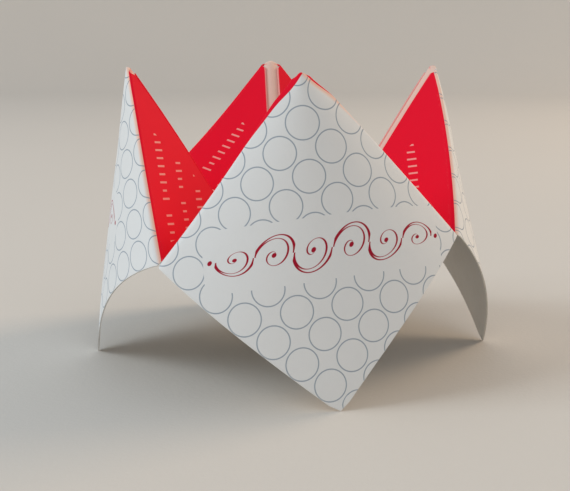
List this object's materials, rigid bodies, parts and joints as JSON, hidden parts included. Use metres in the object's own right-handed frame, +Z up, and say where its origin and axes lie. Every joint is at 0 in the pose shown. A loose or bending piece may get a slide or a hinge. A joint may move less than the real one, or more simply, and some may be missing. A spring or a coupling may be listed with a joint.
{
  "type": "paper fortune teller",
  "caption": "Square of printed card folded into a pinch-and-spread fortune-telling toy, with a finger pocket under each petal.",
  "frame": {"origin": "on the surface that the feet stand on, under the centre of the sheet", "axes": "+Z up; -Y towards the front petal's foot; +X to its right; the valleys lie on the diagonals of X and Y"},
  "size_m": [0.1018, 0.1018, 0.0702],
  "materials": {
    "card": "matte printed card stock"
  },
  "bodies": {
    "root": {"folded_sheet": "card"}
  },
  "joints": []
}
